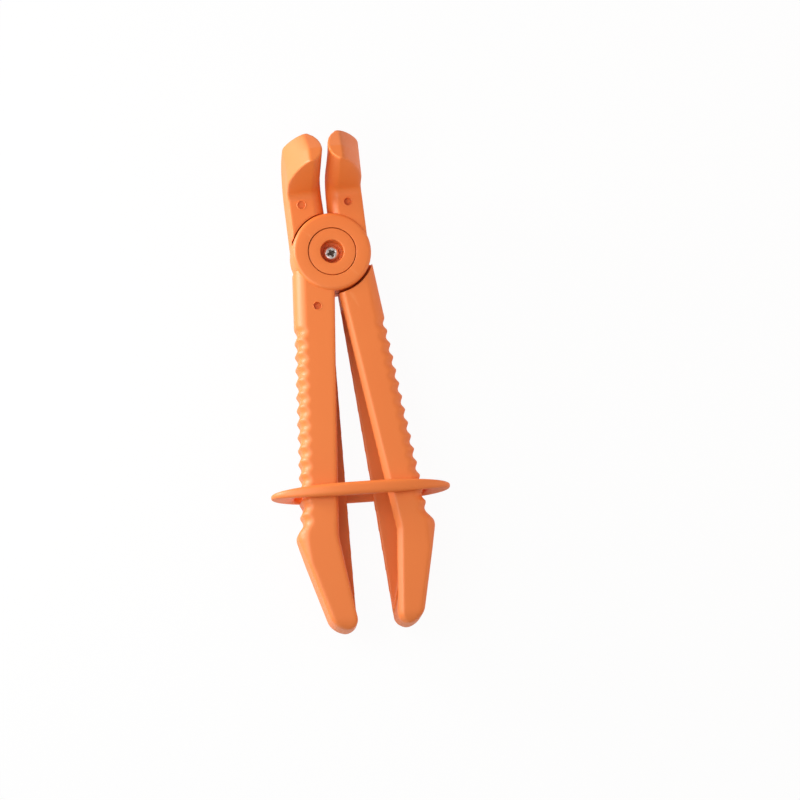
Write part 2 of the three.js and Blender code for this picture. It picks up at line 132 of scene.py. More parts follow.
GRIP_LEAN = math.radians(5.34)
GRIP_OUTSIDE = 13.44
GRIP_ROUND = 3.6
NOTCHED_ROUND = 3.0
NOTCHED_EASE = 3.0
TIP_ROUND = 1.4
TIP_EASE = 9.0
EDGE_CRISPNESS = 0.35
EDGE_ROUND_LIMIT = 0.6
EDGE_CUT_LIMIT = 0.3
INNER_EDGE_CUT = 1.7
FRONT_ARM_EDGE_CUT = 0.6
GRIP_START = 6.0
NOTCH_START = 26.2
NOTCH_PITCH = 4.77
NOTCH_COUNT = 15
NOTCH_DEPTH = 1.1
NOTCH_REACH = 7.0
NOTCH_FADE = 1.5
NOTCH_SHARPNESS = 1.5
LAST_DIP = NOTCH_START + (NOTCH_COUNT - 0.5) * NOTCH_PITCH
SHOULDER_RISE = 1.45
SHOULDER_LENGTH = 5.2
SHOULDER_ROUND = 1.6
SHOULDER = LAST_DIP + SHOULDER_LENGTH
TIP_LENGTH = 33.4
GRIP_END = SHOULDER + TIP_LENGTH
TIP_OUTER_SLOPE = math.tan(math.radians(19.8))
TIP_END_ROUND = 4.4
FRONT_INSIDE = -0.96
FRONT_INSIDE_SLOPE = math.tan(math.radians(1.29))
FRONT_TIP_SLOPE = math.tan(math.radians(12))
REAR_INSIDE = 0.7
REAR_INSIDE_SLOPE = math.tan(math.radians(2.79))
FLANGE = 2.6
WEB = 4.4
CHANNEL_START = 20.0
CHANNEL_RUNIN = 8.0
CHANNEL_RUNOUT = 29.0

JAW_OUTSIDE = 13.1
JAW_ROUND = 0.5
JAW_ROUND_LIMIT = 0.9
JAW_BACK_FLARE = 0.4
REAR_ARM_JAW_FLARE = 0.35
FRONT_ARM_JAW_FLARE = -0.25
JAW_BEND_START = 19.0
JAW_BEND_RADIUS = 3.1
JAW_BEND = math.radians(75)
JAW_TIP_LENGTH = 22.0
JAW_TIP_CURVE = 16.0
JAW_TIP_FULLNESS = 1.4
JAW_TIP_END = 1.0
JAW_FRONT_RISE = 1.6
JAW_BACK_DROP = 5.4
WEDGE_WIDTH = 3.6
RIDGE_DEPTH = 5.8
WEDGE_FLAT = 0.5
WEDGE_BULGE = 1.0
WEDGE_BULGE_LIFT = 0.5
WEDGE_FRONT_BULGE = 0.8
WEDGE_FRONT_ACROSS = 0.85
WEDGE_FRONT_UP = 0.53
JAW_REST_SLOPE = math.tan(math.radians(1.6))
JAW_CLOSED_GAP = 0.3

DIMPLE_RADIUS = 1.35
REAR_ARM_DIMPLE_RIM = 0.2
FRONT_ARM_DIMPLE_RIM = 0.13
DIMPLE_RIM_SINK = 0.02
REAR_ARM_JAW_DIMPLE = (-8.6, 17.7)
FRONT_ARM_JAW_DIMPLE = (7.8, 17.2)
FRONT_ARM_GRIP_DIMPLE = (-7.5, -18.6)
REAR_ARM_DIMPLE_DEPTH = 0.8
FRONT_ARM_DIMPLE_DEPTH = 1.7

RING_DISTANCE = 84.8
RING_TILT = math.radians(2.5)
RING_HALF_LENGTH = 23.1
RING_CLEAR = 0.8
RING_HALF_HEIGHT = ARM_DEPTH / 2 + RING_CLEAR
RING_END_RIM = 8.42
RING_SIDE_RIM = 3.26
RING_THICKNESS = 4.7
RING_END_THICKNESS = 2.7
RING_SECTION_POWER = 3.0
RING_HOLE_POWER = 6.0
RING_OUTLINE_POWER = 2.5
RING_FULLNESS = 1.02
RING_SLIMMING = 0.12

CORNER_ROUND = 0.2
FINE_ROUND = 0.15
HUB_ROOM_INSET = 1.5
ARM_CUT_LOW = -60.0
ARM_CUT_HIGH = 80.0
HUB_CUT_HIGH = 30.0
WELD_DISTANCE = 0.001
MILLIMETRE = 0.001

SKIN_VOXEL = 0.32
FIRST_SMOOTHING = 1
SKIN_SMOOTHING = 3
SKIN_KEPT = 0.66
SCREW_VOXEL = 0.06
SCREW_SMOOTHING = 2
NOTCH_STEPS = 14


# ---------------------------------------------------------------- meshes


def mesh_object(name, points, faces):
    mesh = bpy.data.meshes.new(name)
    mesh.from_pydata([tuple(p) for p in points], [], faces)
    mesh.validate()
    obj = bpy.data.objects.new(name, mesh)
    bpy.context.scene.collection.objects.link(obj)
    return obj


def loft(name, rings, closed=False, middle_of=lambda ring: ring.mean(axis=0)):
    """A closed skin over rings of points, each counterclockwise about the way the rings run."""
    rings = np.asarray(rings, float)
    count, size, _ = rings.shape
    points = list(rings.reshape(-1, 3))
    faces = []
    for i in range(count if closed else count - 1):
        here, there = i * size, ((i + 1) % count) * size
        for j in range(size):
            k = (j + 1) % size
            faces.append((here + j, here + k, there + k, there + j))
    if not closed:
        for ring, first, flip in ((rings[0], 0, True), (rings[-1], (count - 1) * size, False)):
            middle = len(points)
            points.append(middle_of(ring))
            for j in range(size):
                a, b = first + j, first + (j + 1) % size
                faces.append((middle, b, a) if flip else (middle, a, b))
    return mesh_object(name, points, faces)


def spaced(start, end, steps):
    """Even steps from start to end, without start itself."""
    return list(np.linspace(start, end, steps + 1)[1:])


def clamped(value):
    return min(max(value, 0), 1)


def full_turn(steps):
    return np.linspace(0, 2 * math.pi, steps, endpoint=False)


def arc(centre, radius, start, end, steps):
    turns = np.radians(np.linspace(start, end, steps + 1))
    return [(centre[0] + radius * math.cos(t), centre[1] + radius * math.sin(t)) for t in turns]


def rounded(corners, steps=4):
    """A closed outline of (x, y, radius) corners with each corner rounded."""
    outline = []
    count = len(corners)
    for i, (x, y, radius) in enumerate(corners):
        here = Vector((x, y))
        if radius == 0:
            outline.append((x, y))
            continue
        before = (Vector(corners[i - 1][:2]) - here).normalized()
        after = (Vector(corners[(i + 1) % count][:2]) - here).normalized()
        half = before.angle(after) / 2
        centre = here + (before + after).normalized() * (radius / math.sin(half))
        start, end = here + before * (radius / math.tan(half)), here + after * (radius / math.tan(half))
        for step in range(steps + 1):
            way = (start - centre).lerp(end - centre, step / steps).normalized() * radius
            outline.append(tuple(centre + way))
    return outline


def turned(name, outline, steps=128):
    """A closed outline of (radius, height) turned about Z, without touching the axis."""
    rings = [[(r * math.cos(t), r * math.sin(t), z) for r, z in outline] for t in full_turn(steps)]
    return outward(loft(name, rings, closed=True))


def rod(name, radius, low, high, steps=96):
    circle = [(radius * math.cos(t), radius * math.sin(t)) for t in full_turn(steps)]
    return loft(name, [[(x, y, z) for x, y in circle] for z in (low, high)])


def block(name, low, high, turn=0.0):
    (x0, y0, z0), (x1, y1, z1) = low, high
    base = [(x0, y0), (x1, y0), (x1, y1), (x0, y1)]
    c, s = math.cos(turn), math.sin(turn)
    rings = [[(x * c - y * s, x * s + y * c, z) for x, y in base] for z in (z0, z1)]
    return loft(name, rings)


def outward(obj):
    """Turns every face outwards."""
    bm = bmesh.new()
    bm.from_mesh(obj.data)
    bmesh.ops.recalc_face_normals(bm, faces=bm.faces)
    bm.to_mesh(obj.data)
    bm.free()
    return obj


def baked(obj):
    """Applies what the modifiers give and drops them."""
    evaluated = obj.evaluated_get(bpy.context.evaluated_depsgraph_get())
    mesh = bpy.data.meshes.new_from_object(evaluated)
    obj.modifiers.clear()
    old = obj.data
    obj.data = mesh
    mesh.name = obj.name
    bpy.data.meshes.remove(old)
    return obj


def combined(obj, tool, operation):
    """Boolean of obj with tool, which is used up."""
    modifier = obj.modifiers.new("combine", "BOOLEAN")
    modifier.operation = operation
    modifier.solver = "EXACT"
    modifier.object = tool
    baked(obj)
    bpy.data.objects.remove(tool)
    return obj


def mirror(obj):
    obj.data.transform(Matrix.Scale(-1, 4, (1, 0, 0)))
    obj.data.flip_normals()
    return obj


def flipped_over(obj):
    """Turns a piece of the front half of the hub over to the rear half."""
    obj.data.transform(Matrix.Translation((0, 0, STACK_HEIGHT)) @ Matrix.Rotation(math.pi, 4, "X"))
    return obj


def skinned(obj, voxel, smoothing):
    """One even skin over everything in the object, with its edges softened as a mould leaves them."""
    skin = obj.modifiers.new("skin", "REMESH")
    skin.mode = "VOXEL"
    skin.voxel_size = voxel
    skin.use_smooth_shade = True
    soften = obj.modifiers.new("soften", "SMOOTH")
    soften.factor = 0.5
    soften.iterations = smoothing
    return baked(obj)


def thinned(obj, kept):
    """Fewer faces where the surface is flat enough to spare them."""
    thin = obj.modifiers.new("thin", "DECIMATE")
    thin.ratio = kept
    return baked(obj)


def finished(obj, material, body, nodes, crease=math.radians(35)):
    """Scales a piece to metres and hands it to its body."""
    obj.data.transform(Matrix.Scale(MILLIMETRE, 4))
    for polygon in obj.data.polygons:
        polygon.use_smooth = True
    obj.data.set_sharp_from_angle(angle=crease)
    obj.data.materials.clear()
    obj.data.materials.append(material)
    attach(obj, body)
    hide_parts(*nodes)
    return obj


# ---------------------------------------------------------------- Geometry Nodes


class Value:
    """A number that a node gives, with the usual signs for sums."""

    def __init__(self, tree, socket):
        self.tree = tree
        self.socket = socket

    def __add__(self, other):
        return self.tree.math("ADD", self, other)

    def __sub__(self, other):
        return self.tree.math("SUBTRACT", self, other)

    def __rsub__(self, other):
        return self.tree.math("SUBTRACT", other, self)

    def __mul__(self, other):
        return self.tree.math("MULTIPLY", self, other)

    def __truediv__(self, other):
        return self.tree.math("DIVIDE", self, other)

    def __neg__(self):
        return self * -1.0


class GeometryTree:
    """A Geometry Nodes tree with named inputs for its sizes."""

    def __init__(self, name, sizes, takes_geometry=False):
        self.group = bpy.data.node_groups.new(name, "GeometryNodeTree")
        face = self.group.interface
        face.new_socket("Geometry", in_out="OUTPUT", socket_type="NodeSocketGeometry")
        if takes_geometry:
            face.new_socket("Geometry", in_out="INPUT", socket_type="NodeSocketGeometry")
        for size in sizes:
            face.new_socket(size, in_out="INPUT", socket_type="NodeSocketFloat")
        face.new_socket("Material", in_out="INPUT", socket_type="NodeSocketMaterial")
        self.inputs = self.group.nodes.new("NodeGroupInput")
        self.outputs = self.group.nodes.new("NodeGroupOutput")
        self.sizes = sizes

    def node(self, kind, sockets=None, **settings):
        node = self.group.nodes.new(kind)
        for key, value in settings.items():
            setattr(node, key, value)
        for key, value in (sockets or {}).items():
            self.feed(node.inputs[key], value)
        return node

    def feed(self, socket, value):
        if isinstance(value, Value):
            self.group.links.new(value.socket, socket)
        elif isinstance(value, bpy.types.NodeSocket):
            self.group.links.new(value, socket)
        else:
            socket.default_value = value

    def math(self, operation, *terms):
        node = self.group.nodes.new("ShaderNodeMath")
        node.operation = operation
        for socket, term in zip(node.inputs, terms):
            self.feed(socket, term)
        return Value(self, node.outputs[0])

    def clamped(self, value):
        return self.math("MINIMUM", self.math("MAXIMUM", value, 0.0), 1.0)

    def size(self, name):
        return Value(self, self.inputs.outputs[name])

    def place(self):
        """The X and Y of each point."""
        position = self.node("GeometryNodeInputPosition").outputs[0]
        parts = self.node("ShaderNodeSeparateXYZ", {"Vector": position})
        return Value(self, parts.outputs["X"]), Value(self, parts.outputs["Y"])

    def end(self, geometry):
        """Realizes, sets the material and closes the tree."""
        real = self.node("GeometryNodeRealizeInstances", {"Geometry": geometry})
        dressed = self.node(
            "GeometryNodeSetMaterial",
            {"Geometry": real.outputs["Geometry"], "Material": self.inputs.outputs["Material"]},
        )
        self.group.links.new(dressed.outputs["Geometry"], self.outputs.inputs["Geometry"])

    def run(self, obj, values, material):
        """Runs the tree on obj and turns the result into a plain mesh."""
        modifier = obj.modifiers.new(self.group.name, "NODES")
        modifier.node_group = self.group
        for item in self.group.interface.items_tree:
            if item.in_out == "INPUT" and item.name in values:
                modifier[item.identifier] = float(values[item.name])
            if item.in_out == "INPUT" and item.name == "Material":
                modifier[item.identifier] = material
        return baked(obj)


def notch_tree():
    """Presses a row of round notches into a handle's outer side, up to the foot of its shoulder."""
    tree = GeometryTree(
        "handle_notches",
        ["Lean", "Outside", "Start", "Pitch", "Depth", "Reach", "Fade", "Last Dip", "Shoulder Length"],
        takes_geometry=True,
    )
    across, up = tree.place()
    lean_sine = tree.math("SINE", tree.size("Lean"))
    lean_cosine = tree.math("COSINE", tree.size("Lean"))
    along = across * lean_sine - up * lean_cosine
    out = across * lean_cosine + up * lean_sine
    phase = (along - tree.size("Start")) / tree.size("Pitch") * math.pi
    wave = tree.math("POWER", tree.math("ABSOLUTE", tree.math("SINE", phase)), NOTCH_SHARPNESS)
    climb = tree.clamped((along - tree.size("Last Dip")) / tree.size("Shoulder Length"))
    foot = tree.math("POWER", tree.math("COSINE", climb * (math.pi / 2)), 2.0)
    past_last = tree.math("GREATER_THAN", along, tree.size("Last Dip"))
    started = tree.math("GREATER_THAN", along, tree.size("Start"))
    dip = (wave * (1.0 - past_last) + foot * past_last) * started * tree.size("Depth")
    nearness = tree.clamped((out - tree.size("Outside") + tree.size("Reach")) / tree.size("Fade"))
    press = -(dip * nearness)
    offset = tree.node("ShaderNodeCombineXYZ", {"X": press * lean_cosine, "Y": press * lean_sine})
    moved = tree.node(
        "GeometryNodeSetPosition",
        {"Geometry": tree.inputs.outputs["Geometry"], "Offset": offset.outputs[0]},
    )
    tree.end(moved.outputs["Geometry"])
    return tree


def ring_tree(around=288, across=28):
    """An oblong ring: a lens-shaped section carried round a square-cornered hole."""
    tree = GeometryTree(
        "oblong_ring",
        ["Half Length", "Half Height", "End Rim", "Side Rim", "Thickness", "End Thickness"],
    )
    grid = tree.node(
        "GeometryNodeMeshGrid",
        {"Size X": 1.0, "Size Y": 1.0, "Vertices X": around + 1, "Vertices Y": across + 1},
    )
    turn, lap = ((share + 0.5) * (2 * math.pi) for share in tree.place())

    def squared(wave, angle, power):
        """A sine or cosine that goes round a corner more squarely the higher the power is."""
        value = tree.math(wave, angle)
        size = tree.math("POWER", tree.math("ABSOLUTE", value), 2.0 / power)
        return tree.math("SIGN", value) * size

    def oblong(half_length, half_height, power):
        return squared("COSINE", turn, power) * half_length, squared("SINE", turn, power) * half_height

    inner = oblong(tree.size("Half Length"), tree.size("Half Height"), RING_HOLE_POWER)
    half_length = tree.size("Half Length") + tree.size("End Rim")
    outer = oblong(half_length, tree.size("Half Height") + tree.size("Side Rim"), RING_OUTLINE_POWER)
    end_share = tree.math("POWER", outer[0] / half_length, 2.0)
    thickness = tree.size("Thickness") - (tree.size("Thickness") - tree.size("End Thickness")) * end_share
    # The section: a rounded oblong, a little slimmer at the outer edge.
    across_wave, along_wave = (squared(wave, lap, RING_SECTION_POWER) for wave in ("COSINE", "SINE"))
    way = 0.5 - across_wave * 0.5
    fullness = RING_FULLNESS - tree.math("POWER", way, 2.0) * RING_SLIMMING
    y = along_wave * fullness * thickness * 0.5
    x = inner[0] + (outer[0] - inner[0]) * way
    z = inner[1] + (outer[1] - inner[1]) * way
    position = tree.node("ShaderNodeCombineXYZ", {"X": x, "Y": y, "Z": z})
    moved = tree.node(
        "GeometryNodeSetPosition",
        {"Geometry": grid.outputs["Mesh"], "Position": position.outputs[0]},
    )
    closed = tree.node(
        "GeometryNodeMergeByDistance",
        {"Geometry": moved.outputs["Geometry"], "Distance": WELD_DISTANCE},
    )
    tree.end(closed.outputs["Geometry"])
    return tree


def spring_tree(steps_per_turn=64, sides=20):
    """Wire wound round the hub, with a straight leg at each end."""
    tree = GeometryTree("torsion_spring", ["Radius", "Height", "Turns", "Wire", "Leg"])
    steps = int(steps_per_turn * SPRING_TURNS)
    line = tree.node("GeometryNodeMeshLine", {"Count": steps + 3})
    index = Value(tree, tree.node("GeometryNodeInputIndex").outputs[0])
    share = tree.clamped((index - 1.0) / float(steps))
    turn = share * tree.size("Turns") * (2 * math.pi)
    on_leg = tree.math("LESS_THAN", index, 0.5) + tree.math("GREATER_THAN", index, steps + 1.5)
    reach = tree.size("Radius") + on_leg * tree.size("Leg")
    position = tree.node(
        "ShaderNodeCombineXYZ",
        {
            "X": reach * tree.math("COSINE", turn),
            "Y": reach * tree.math("SINE", turn),
            "Z": (share - 0.5) * tree.size("Height"),
        },
    )
    placed = tree.node(
        "GeometryNodeSetPosition",
        {"Geometry": line.outputs["Mesh"], "Position": position.outputs[0]},
    )
    path = tree.node("GeometryNodeMeshToCurve", {"Mesh": placed.outputs["Geometry"]})
    section = tree.node(
        "GeometryNodeCurvePrimitiveCircle",
        {"Resolution": sides, "Radius": tree.size("Wire") * 0.5},
    )
    wire = tree.node(
        "GeometryNodeCurveToMesh",
        {"Curve": path.outputs["Curve"], "Profile Curve": section.outputs["Curve"], "Fill Caps": True},
    )
    tree.end(wire.outputs["Mesh"])
    return tree


# ---------------------------------------------------------------- materials


class ShaderTree:
    """Nodes of a material or of a shader group."""

    def __init__(self, tree):
        self.tree = tree

    def node(self, kind, sockets=None, **settings):
        node = self.tree.nodes.new(kind)
        for key, value in settings.items():
            setattr(node, key, value)
        for key, value in (sockets or {}).items():
            if isinstance(value, bpy.types.NodeSocket):
                self.tree.links.new(value, node.inputs[key])
            else:
                node.inputs[key].default_value = value
        return node

    def math(self, operation, a, b=0.0, clamp=False):
        return self.node("ShaderNodeMath", {0: a, 1: b}, operation=operation, use_clamp=clamp).outputs[0]

    def noise(self, where, scale, detail=3.0, roughness=0.5):
        sockets = {"Vector": where, "Scale": scale, "Detail": detail, "Roughness": roughness}
        return self.node("ShaderNodeTexNoise", sockets).outputs["Fac"]

    def spread(self, value, low, high, to_low=0.0, to_high=1.0):
        sockets = {"Value": value, "From Min": low, "From Max": high, "To Min": to_low, "To Max": to_high}
        return self.node("ShaderNodeMapRange", sockets).outputs["Result"]

    def mix(self, share, a, b):
        return self.node("ShaderNodeMix", {0: share, 6: a, 7: b}, data_type="RGBA").outputs[2]

    def bumped(self, height, strength, distance):
        sockets = {"Strength": strength, "Distance": distance, "Height": height}
        return self.node("ShaderNodeBump", sockets).outputs["Normal"]


def shader_group(name, inputs, outputs):
    group = bpy.data.node_groups.new(name, "ShaderNodeTree")
    for socket, kind, default in inputs:
        item = group.interface.new_socket(socket, in_out="INPUT", socket_type=kind)
        if default is not None:
            item.default_value = default
    for socket, kind in outputs:
        group.interface.new_socket(socket, in_out="OUTPUT", socket_type=kind)
    return group, ShaderTree(group), group.nodes.new("NodeGroupInput"), group.nodes.new("NodeGroupOutput")


def grain_group():
    """Fine grain of a spark-eroded mould: a height, and the small changes of gloss that go with it."""
    group, t, given, gives = shader_group(
        "mould_grain",
        [
            ("Vector", "NodeSocketVector", None),
            ("Grain Scale", "NodeSocketFloat", 2600.0),
            ("Flow Scale", "NodeSocketFloat", 55.0),
        ],
        [("Height", "NodeSocketFloat"), ("Gloss Change", "NodeSocketFloat"), ("Flow", "NodeSocketFloat")],
    )
    where = given.outputs["Vector"]
    fine = t.noise(where, given.outputs["Grain Scale"], 4.0, 0.62)
    pit_scale = t.math("MULTIPLY", given.outputs["Grain Scale"], 0.45)
    pits = t.node("ShaderNodeTexVoronoi", {"Vector": where, "Scale": pit_scale})
    pit_depth = t.spread(pits.outputs["Distance"], 0.0, 0.55)
    flow = t.noise(where, given.outputs["Flow Scale"], 5.0, 0.55)
    height = t.math("ADD", t.math("MULTIPLY", fine, 0.7), t.math("MULTIPLY", pit_depth, 0.3))
    waves = t.math("MULTIPLY", flow, 0.5)
    t.tree.links.new(t.math("ADD", height, waves), gives.inputs["Height"])
    t.tree.links.new(t.spread(fine, 0.3, 0.7, -0.5, 0.5), gives.inputs["Gloss Change"])
    t.tree.links.new(t.spread(flow, 0.3, 0.7), gives.inputs["Flow"])
    return group


def edge_highlight_group():
    """Painted highlight: sharp edges painted paler, broken up so that they never run as an even line."""
    group, t, given, gives = shader_group(
        "painted_edge_highlight",
        [
            ("Vector", "NodeSocketVector", None),
            ("Break Up", "NodeSocketFloat", 420.0),
            ("Amount", "NodeSocketFloat", 1.0),
        ],
        [("Mask", "NodeSocketFloat")],
    )
    sharpness = t.node("ShaderNodeNewGeometry").outputs["Pointiness"]
    edge = t.spread(sharpness, 0.52, 0.62)
    patches = t.spread(t.noise(given.outputs["Vector"], given.outputs["Break Up"], 4.0, 0.6), 0.35, 0.7)
    mask = t.math("MULTIPLY", t.math("MULTIPLY", edge, patches), given.outputs["Amount"], clamp=True)
    t.tree.links.new(mask, gives.inputs["Mask"])
    return group


def brushed_group():
    """Fine turning and tumbling marks on plated or drawn steel."""
    group, t, given, gives = shader_group(
        "steel_marks",
        [("Vector", "NodeSocketVector", None), ("Scale", "NodeSocketFloat", 3500.0)],
        [("Height", "NodeSocketFloat"), ("Tarnish", "NodeSocketFloat")],
    )
    where = given.outputs["Vector"]
    marks = t.noise(where, given.outputs["Scale"], 3.0, 0.6)
    blotches = t.noise(where, 600.0, 4.0, 0.6)
    t.tree.links.new(marks, gives.inputs["Height"])
    t.tree.links.new(t.spread(blotches, 0.35, 0.72), gives.inputs["Tarnish"])
    return group


GRAIN = grain_group()
EDGE_HIGHLIGHT = edge_highlight_group()
MARKS = brushed_group()


def surface(name):
    material = bpy.data.materials.new(name)
    material.use_nodes = True
    t = ShaderTree(material.node_tree)
    shader = material.node_tree.nodes["Principled BSDF"]
    where = t.node("ShaderNodeTexCoord").outputs["Object"]
    return material, t, shader, where


def moulded_plastic(name, colour, deep, edge_highlight_colour, roughness):
    """Satin plastic: pigment that flows a little unevenly, a fine grain and sharp edges painted a little
    paler as a painted highlight.
    """
    material, t, shader, where = surface(name)
    grain = t.node(
        "ShaderNodeGroup",
        {"Vector": where, "Grain Scale": 2600.0, "Flow Scale": 55.0},
        node_tree=GRAIN,
    )
    # Painted highlight: sharp edges are painted paler, standing in for the light that catches them.
    edge_highlight = t.node("ShaderNodeGroup", {"Vector": where, "Break Up": 420.0, "Amount": 0.55}, node_tree=EDGE_HIGHLIGHT)
    pigment = t.mix(t.math("MULTIPLY", grain.outputs["Flow"], 0.5), colour, deep)
    highlighted = t.mix(edge_highlight.outputs["Mask"], pigment, edge_highlight_colour)
    t.tree.links.new(highlighted, shader.inputs["Base Color"])
    gloss = t.math("ADD", t.math("MULTIPLY", grain.outputs["Gloss Change"], 0.12), roughness)
    t.tree.links.new(gloss, shader.inputs["Roughness"])
    t.tree.links.new(t.bumped(grain.outputs["Height"], 0.16, 0.00012), shader.inputs["Normal"])
    shader.inputs["Specular IOR Level"].default_value = 0.7
    return material


# Painted shade: how far the dark paint in a recess fades in below its height.
RECESS_SHADE_FADE = 0.0002


def steel(name, bright, dull, roughness, painted_recess_shade=None):
    """Plated or drawn steel; the last argument is (colour, radius, height) of a recess, where the steel is
    painted dark below the height as painted shade.
    """
    material, t, shader, where = surface(name)
    marks = t.node("ShaderNodeGroup", {"Vector": where, "Scale": 3500.0}, node_tree=MARKS)
    colour = t.mix(marks.outputs["Tarnish"], bright, dull)
    # Painted shade: inside the radius and below the height the steel is painted dark, standing in for the
    # shade in the recess.
    if painted_recess_shade:
        recess_shade_colour, radius, height = painted_recess_shade
        place = t.node("ShaderNodeSeparateXYZ", {"Vector": where})
        flat = t.node("ShaderNodeCombineXYZ", {"X": place.outputs["X"], "Y": place.outputs["Y"]})
        reach = t.node("ShaderNodeVectorMath", {0: flat.outputs[0]}, operation="LENGTH").outputs["Value"]
        near = t.math("LESS_THAN", reach, radius)
        low = t.spread(place.outputs["Z"], height, height - RECESS_SHADE_FADE)
        colour = t.mix(t.math("MULTIPLY", near, low), colour, recess_shade_colour)
    t.tree.links.new(colour, shader.inputs["Base Color"])
    gloss = t.spread(marks.outputs["Tarnish"], 0.0, 1.0, roughness, roughness + 0.14)
    t.tree.links.new(gloss, shader.inputs["Roughness"])
    t.tree.links.new(t.bumped(marks.outputs["Height"], 0.12, 0.00005), shader.inputs["Normal"])
    shader.inputs["Metallic"].default_value = 1.0
    return material


orange_plastic = moulded_plastic(
    "orange_plastic",
    colour=(0.84, 0.208, 0.033, 1),
    deep=(0.82, 0.188, 0.028, 1),
    # The paler colour painted on sharp edges as a painted highlight.
    edge_highlight_colour=(0.90, 0.29, 0.08, 1),
    roughness=0.5,
)
# The screw head's cross recess is painted dark as painted shade.
screw_steel = steel(
    "screw_steel",
    bright=(0.95, 0.93, 0.91, 1),
    dull=(0.76, 0.72, 0.69, 1),
    roughness=0.3,
    painted_recess_shade=((0.17, 0.13, 0.11, 1), 0.0014, (SCREW_SEAT + SCREW_HEAD_HEIGHT - 0.1) / 1000),
)
spring_steel = steel("spring_steel", bright=(0.44, 0.45, 0.46, 1), dull=(0.3, 0.3, 0.3, 1), roughness=0.34)


# ---------------------------------------------------------------- arms


def grip_outer(along):
    if along <= LAST_DIP:
        return GRIP_OUTSIDE
    if along <= SHOULDER:
        quarter = math.pi / 2 * (along - LAST_DIP) / SHOULDER_LENGTH
        return GRIP_OUTSIDE + SHOULDER_RISE * math.sin(quarter) ** 2
    past = along - SHOULDER
    bend = min(past, SHOULDER_ROUND)
    eased = bend * bend / (2 * SHOULDER_ROUND) + (past - bend)
    return GRIP_OUTSIDE + SHOULDER_RISE - eased * TIP_OUTER_SLOPE


def front_inner(along):
    tip = max(along - SHOULDER, 0)
    return FRONT_INSIDE + min(along, SHOULDER) * FRONT_INSIDE_SLOPE - tip * FRONT_TIP_SLOPE


def rear_inner(along):
    return REAR_INSIDE - along * REAR_INSIDE_SLOPE


def grip_point(along, out, height):
    x = along * math.sin(GRIP_LEAN) + out * math.cos(GRIP_LEAN)
    y = out * math.sin(GRIP_LEAN) - along * math.cos(GRIP_LEAN)
    return (x, y, height)


def blended(along, start, end, ease):
    """1 between start and end, easing to 0 outside them."""
    return clamped((along - start) / ease) * clamped((end - along) / ease)


def edge_round(along):
    notched_share = blended(along, NOTCH_START, SHOULDER, NOTCHED_EASE)
    tip_share = clamped((along - SHOULDER) / TIP_EASE)
    return GRIP_ROUND + (NOTCHED_ROUND - GRIP_ROUND) * notched_share + (TIP_ROUND - GRIP_ROUND) * tip_share


def outer_edge(centre, radius, start, steps=9):
    """A quarter round with its two ends left as slight creases."""
    curve = np.array(arc(centre, radius, start, start + 90, steps))
    chord = np.linspace(curve[0], curve[-1], steps + 1)
    return [tuple(p) for p in curve + (chord - curve) * EDGE_CRISPNESS]


def grip_section(along, face_cut):
    outer, front, rear = grip_outer(along), front_inner(along), rear_inner(along)
    back, face = FACE_BACK, FACE_FRONT
    into_end = along - (GRIP_END - TIP_END_ROUND)
    if into_end > 0:
        share = math.sqrt(max(1 - (into_end / TIP_END_ROUND) ** 2, 0))
        middle = (outer + (front + rear) / 2) / 2
        outer, front, rear = (middle + (side - middle) * share for side in (outer, front, rear))
        trim = (1 - share) * INNER_EDGE_CUT
        back, face = back + trim, face - trim
    width = outer - max(front, rear)
    edge = min(edge_round(along), width * EDGE_ROUND_LIMIT)
    back_cut, face_cut = (min(cut, width * EDGE_CUT_LIMIT) for cut in (INNER_EDGE_CUT, face_cut))
    outline = (
        [(rear, back + back_cut), (rear + back_cut, back)]
        + outer_edge((outer - edge, back + edge), edge, 270)
        + outer_edge((outer - edge, face - edge), edge, 0)
        + [(front + face_cut, face), (front, face - face_cut)]
    )
    return [grip_point(along, out, height) for out, height in outline]


def grip(face_cut):
    stations = [GRIP_START] + spaced(GRIP_START, NOTCH_START, 5)
    stations += spaced(NOTCH_START, LAST_DIP, int((NOTCH_COUNT - 0.5) * NOTCH_STEPS))
    stations += spaced(LAST_DIP, SHOULDER, 9)
    stations += [SHOULDER + past for past in spaced(0, SHOULDER_ROUND, 4)]
    stations += spaced(SHOULDER + SHOULDER_ROUND, GRIP_END - TIP_END_ROUND, 7)
    stations += [GRIP_END - TIP_END_ROUND * (1 - math.sin(math.radians(a))) for a in range(8, 86, 7)]
    return outward(loft("grip", [grip_section(along, face_cut) for along in stations]))


def notched(handle):
    """Presses the notches that the ring's edge drops into."""
    return NOTCHES.run(
        handle,
        {
            "Lean": GRIP_LEAN,
            "Outside": GRIP_OUTSIDE,
            "Start": NOTCH_START,
            "Pitch": NOTCH_PITCH,
            "Depth": NOTCH_DEPTH,
            "Reach": NOTCH_REACH,
            "Fade": NOTCH_FADE,
            "Last Dip": LAST_DIP,
            "Shoulder Length": SHOULDER_LENGTH,
        },
        orange_plastic,
    )


def channel():
    """Space between the flanges, with a pointed end in the tip."""
    point = SHOULDER + CHANNEL_RUNOUT
    bottom = GRIP_OUTSIDE - WEB
    clear = rear_inner(point) - WEB
    corners = [
        (CHANNEL_START, clear),
        (CHANNEL_START, bottom),
        (SHOULDER - CHANNEL_RUNIN, bottom),
        (point, rear_inner(point)),
        (point, clear),
    ]
    rings = [
        [grip_point(along, out, height) for along, out in corners]
        for height in (FACE_BACK + FLANGE, FACE_FRONT - FLANGE)
    ]
    return outward(loft("channel", rings))


def jaw_point(start, turn, tip, across, below):
    reach = JAW_BEND_RADIUS + below
    along = start + reach * math.sin(turn) + tip * math.cos(turn)
    height = FACE_FRONT + JAW_BEND_RADIUS - reach * math.cos(turn) + tip * math.sin(turn)
    return np.array((across, along, height))


